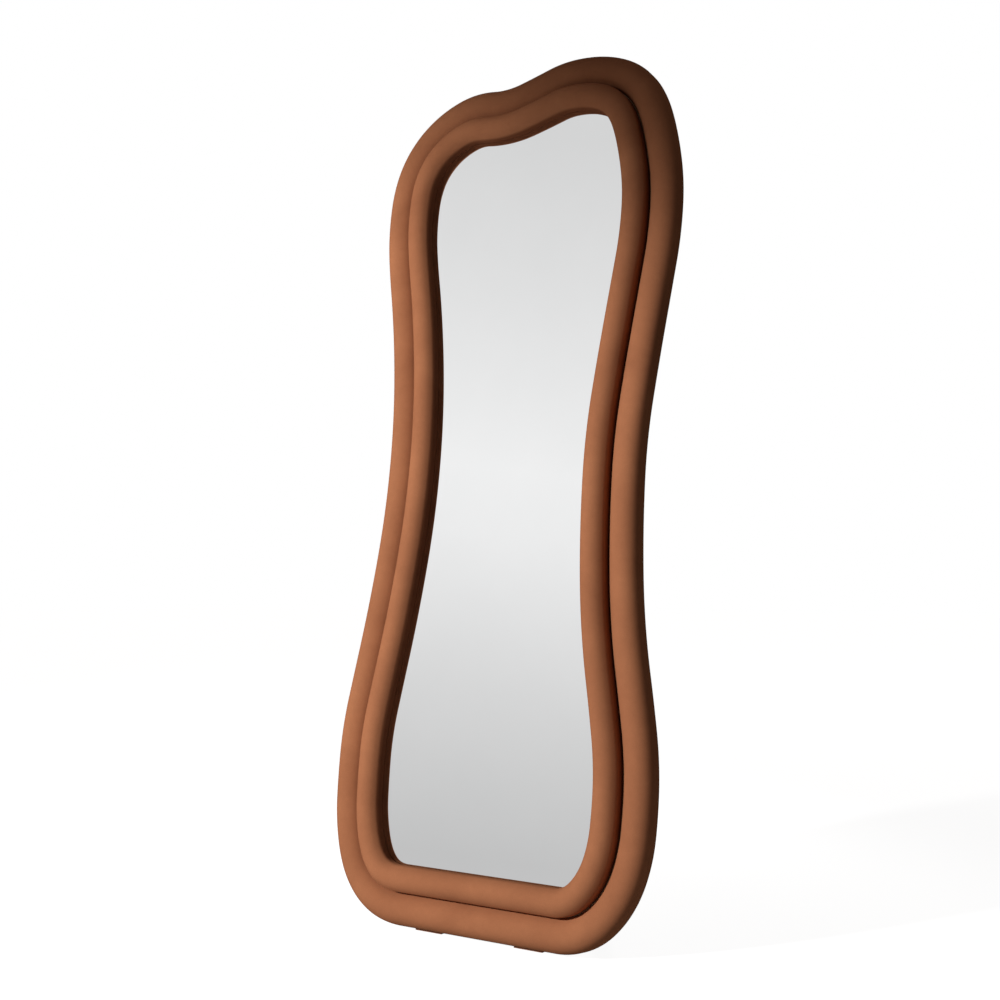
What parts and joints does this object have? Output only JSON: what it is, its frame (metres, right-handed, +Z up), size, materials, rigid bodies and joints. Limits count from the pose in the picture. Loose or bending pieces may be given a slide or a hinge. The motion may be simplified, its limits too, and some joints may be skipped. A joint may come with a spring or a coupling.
{
  "type": "floor mirror",
  "caption": "Full-length floor mirror with a wavy frame of two padded velvet beads, leaning back on a fold-out tube leg.",
  "frame": {"origin": "middle of the footprint, on the floor", "axes": "+Z up, +Y to the back of the mirror, +X to the right seen from the front"},
  "size_m": [0.7, 0.3309, 1.6919],
  "materials": {
    "velvet": "short-pile velvet",
    "foam": "open-cell foam",
    "plywood": "raw",
    "black_board": "matt painted",
    "mirror": "polished",
    "film": "matt",
    "rubber": "matt",
    "nylon": "natural",
    "black_steel": "powder coated",
    "zinc": "zinc plated"
  },
  "bodies": {
    "mirror": {"base_ring": "plywood", "outer_core_ring": "plywood", "inner_core_ring": "plywood", "outer_foam": "foam", "inner_foam": "foam", "outer_velvet_cover": "velvet", "inner_velvet_cover": "velvet", "mirror_glass": "mirror", "safety_film": "film", "backing_foam": "foam", "setting_blocks": "rubber", "back_panel": "black_board", "back_panel_screws": "zinc", "cover_staples": "zinc", "outer_core_screws": "zinc", "inner_core_screws": "zinc", "cross_rail": "black_board", "rail_screws": "zinc", "hinge_bracket_left": "black_steel", "hinge_bracket_right": "black_steel", "bracket_screws": "zinc", "pivot_bolts": "zinc", "pivot_nuts": "zinc", "foot_pad_left": "rubber", "foot_pad_right": "rubber", "foot_pad_screws": "zinc", "ring_plate_left": "zinc", "ring_plate_right": "zinc", "ring_plate_screws": "zinc"},
    "leg": {"easel_leg": "black_steel", "pivot_bushings": "nylon", "leg_heel_caps": "rubber", "leg_floor_sleeves": "rubber"},
    "left_ring": {"d_ring_left": "zinc"},
    "right_ring": {"d_ring_right": "zinc"}
  },
  "joints": [
    {"name": "leg_fold", "type": "hinge", "parent": "mirror", "child": "leg", "pos_m": [0, 0.04295, 0.98984], "axis": [1, 0, 0], "range_deg": [-13.5, 0]},
    {"name": "left_ring_swing", "type": "hinge", "parent": "mirror", "child": "left_ring", "pos_m": [-0.28522, 0.05466, 1.37629], "axis": [1, 0, 0], "range_deg": [-6, 160]},
    {"name": "right_ring_swing", "type": "hinge", "parent": "mirror", "child": "right_ring", "pos_m": [0.28522, 0.05466, 1.37629], "axis": [1, 0, 0], "range_deg": [-6, 160]}
  ]
}
